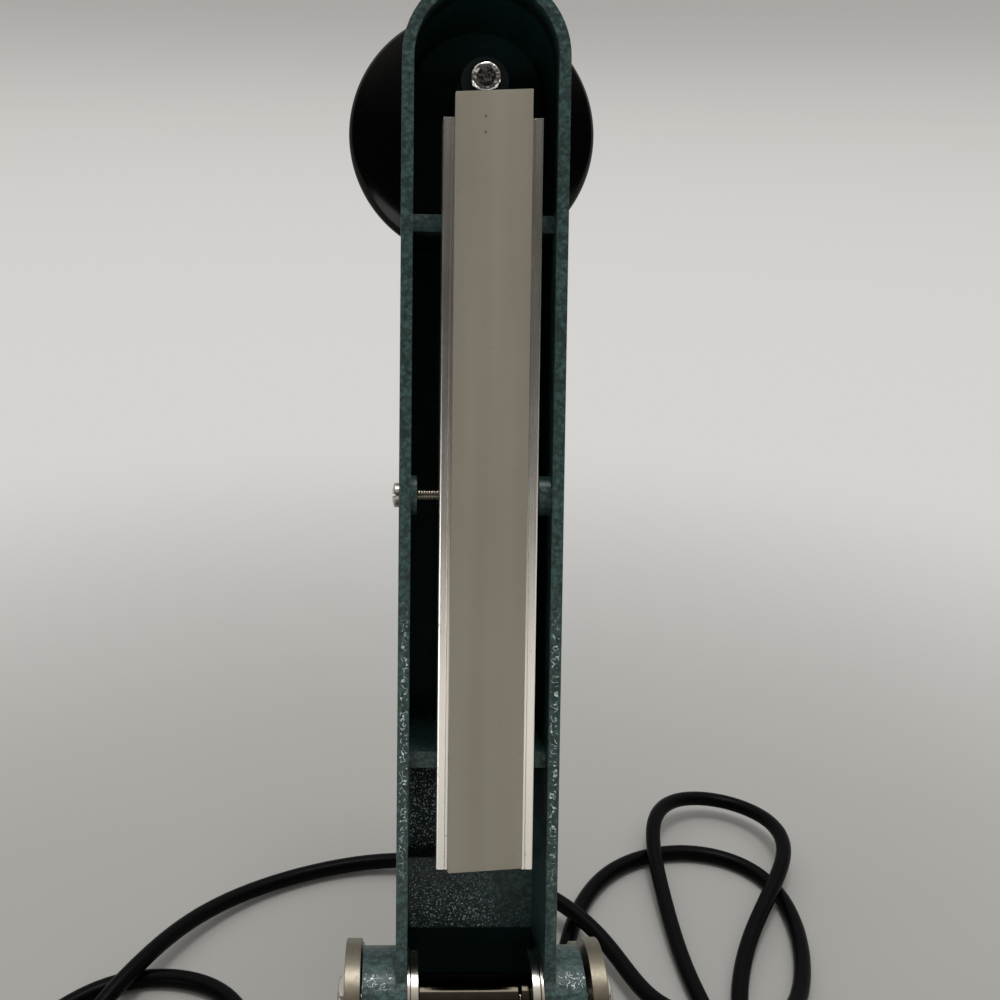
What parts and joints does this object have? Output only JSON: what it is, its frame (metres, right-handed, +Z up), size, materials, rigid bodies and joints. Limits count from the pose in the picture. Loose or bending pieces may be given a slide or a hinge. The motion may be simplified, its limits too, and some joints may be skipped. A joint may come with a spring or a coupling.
{
  "type": "impulse sealer",
  "caption": "Hand impulse sealer: cast arm with a rocking press bar and silicone strip, hinged on a long base that holds the sealing bed, timer, transformer and mains lead.",
  "frame": {"origin": "on the counter, under the middle of the object's box without its cord", "axes": "+X to the right as the open arm's underside is seen, +Y to the back, along the base towards the hinge, +Z up"},
  "size_m": [0.3388, 0.4791, 0.3589],
  "materials": {
    "hammertone_paint": "dark green hammered enamel",
    "worn_nickel": "nickel plate worn at its edges",
    "polished_steel": "turned and polished",
    "zinc_steel": "bright zinc plate",
    "core_steel": "varnished laminations",
    "bare_aluminium": "extruded, unpainted",
    "gloss_black": "polished phenolic",
    "black_plastic": "moulded",
    "black_rubber": "satin",
    "silicone": "matt",
    "brass": "plain",
    "winding": "enamelled copper",
    "nichrome": "rolled ribbon",
    "ptfe_cloth": "coated glass cloth",
    "board_green": "fibreglass board",
    "natural_nylon": "moulded",
    "red_lens": "clear red"
  },
  "bodies": {
    "base": {"base_housing": "hammertone_paint", "bottom_plate": "zinc_steel", "rubber_feet": "black_rubber", "foot_screws": "zinc_steel", "hinge_yoke": "worn_nickel", "yoke_screws": "zinc_steel", "yoke_nuts": "zinc_steel", "hinge_bolt": "polished_steel", "hinge_nut": "polished_steel", "stop_pin": "worn_nickel", "seal_bed": "bare_aluminium", "bed_screws": "zinc_steel", "insulator_strip": "ptfe_cloth", "heating_element": "nichrome", "ptfe_cover": "ptfe_cloth", "cloth_clamps": "bare_aluminium", "clamp_screws": "zinc_steel", "element_terminals": "brass", "terminal_screws": "zinc_steel", "transformer_core": "core_steel", "transformer_coil": "winding", "transformer_frame": "zinc_steel", "transformer_screws": "zinc_steel", "timer_board": "board_green", "board_standoffs": "natural_nylon", "board_relay": "black_plastic", "board_capacitors": "zinc_steel", "timer_pot": "zinc_steel", "pot_nut": "polished_steel", "dial_plate": "bare_aluminium", "pilot_lens": "red_lens", "lamp_holder": "black_plastic", "plunger_bush": "brass", "micro_switch": "black_plastic", "switch_bracket": "zinc_steel", "switch_screws": "zinc_steel", "mains_terminal": "natural_nylon", "lead_wires": "winding", "cord_gland": "black_rubber", "power_cord": "black_rubber", "plug_body": "black_plastic", "plug_pins": "brass", "lift_spring": "zinc_steel"},
    "timer": {"timer_shaft": "zinc_steel", "timer_knob": "gloss_black"},
    "lift": {"lift_plunger": "black_plastic"},
    "button": {"switch_button": "red_lens"},
    "arm": {"arm_casting": "hammertone_paint", "press_knob": "gloss_black", "knob_stud": "zinc_steel", "knob_nut": "zinc_steel", "hinge_bushes": "polished_steel", "hinge_washers": "polished_steel", "hinge_sleeve": "polished_steel", "hinge_collar": "polished_steel", "pivot_screw": "zinc_steel"},
    "bar": {"press_bar": "bare_aluminium", "silicone_strip": "silicone", "pivot_saddle": "zinc_steel"}
  },
  "joints": [
    {"name": "arm_hinge", "type": "hinge", "parent": "base", "child": "arm", "pos_m": [0, 0.076, 0.08438], "axis": [1, 0, 0], "range_deg": [0, 108]},
    {"name": "bar_rock", "type": "hinge", "parent": "arm", "child": "bar", "pos_m": [0, 0.11848, 0.22483], "axis": [1, 0, 0], "range_deg": [-0.6, 0.6]},
    {"name": "timer_turn", "type": "hinge", "parent": "base", "child": "timer", "pos_m": [-0.014, -0.2, 0.034], "axis": [0, 1, 0], "range_deg": [0, 280]},
    {"name": "plunger_slide", "type": "slide", "parent": "base", "child": "lift", "axis": [0, 0, 1], "range_m": [-0.004, 0], "deforming": ["lift_spring"]},
    {"name": "button_slide", "type": "slide", "parent": "base", "child": "button", "axis": [0, 0, 1], "range_m": [-0.0012, 0]}
  ],
  "couplings": [
    {"joint": "plunger_slide", "follows": "arm_hinge", "m_per_rad": -0.00212},
    {"joint": "button_slide", "follows": "arm_hinge", "m_per_rad": -0.000636}
  ]
}
